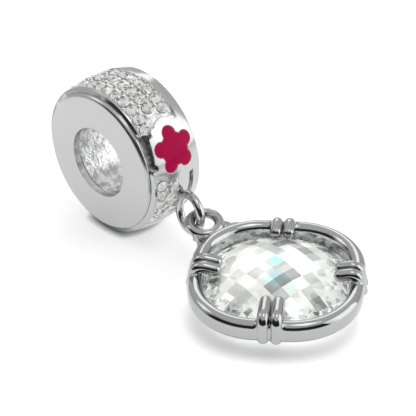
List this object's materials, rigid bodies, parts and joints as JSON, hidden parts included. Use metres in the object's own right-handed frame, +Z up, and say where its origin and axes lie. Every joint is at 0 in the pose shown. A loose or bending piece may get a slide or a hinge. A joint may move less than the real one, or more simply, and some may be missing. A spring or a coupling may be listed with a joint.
{
  "type": "dangle charm",
  "caption": "Barrel-shaped pave bead with an enamel flower window and a ring that carries a prong-set checkerboard-cut cushion stone in a tube frame.",
  "frame": {"origin": "middle of the bead's bore", "axes": "+Y along the bore from the front face to the back one, +X towards the drop, +Z up as the charm lies on a table"},
  "size_m": [0.0251, 0.0118, 0.0104],
  "materials": {
    "silver": "polished, rhodium-plated",
    "enamel": "glossy crimson enamel",
    "pave_stone": "small round-cut clear stones",
    "clear_stone": "clear stone with a checkerboard crown"
  },
  "bodies": {
    "root": {"bead_body": "silver", "enamel_flower": "enamel", "pave_top": "pave_stone", "pave_side": "pave_stone", "drop_frame": "silver", "drop_stone": "clear_stone"}
  },
  "joints": []
}
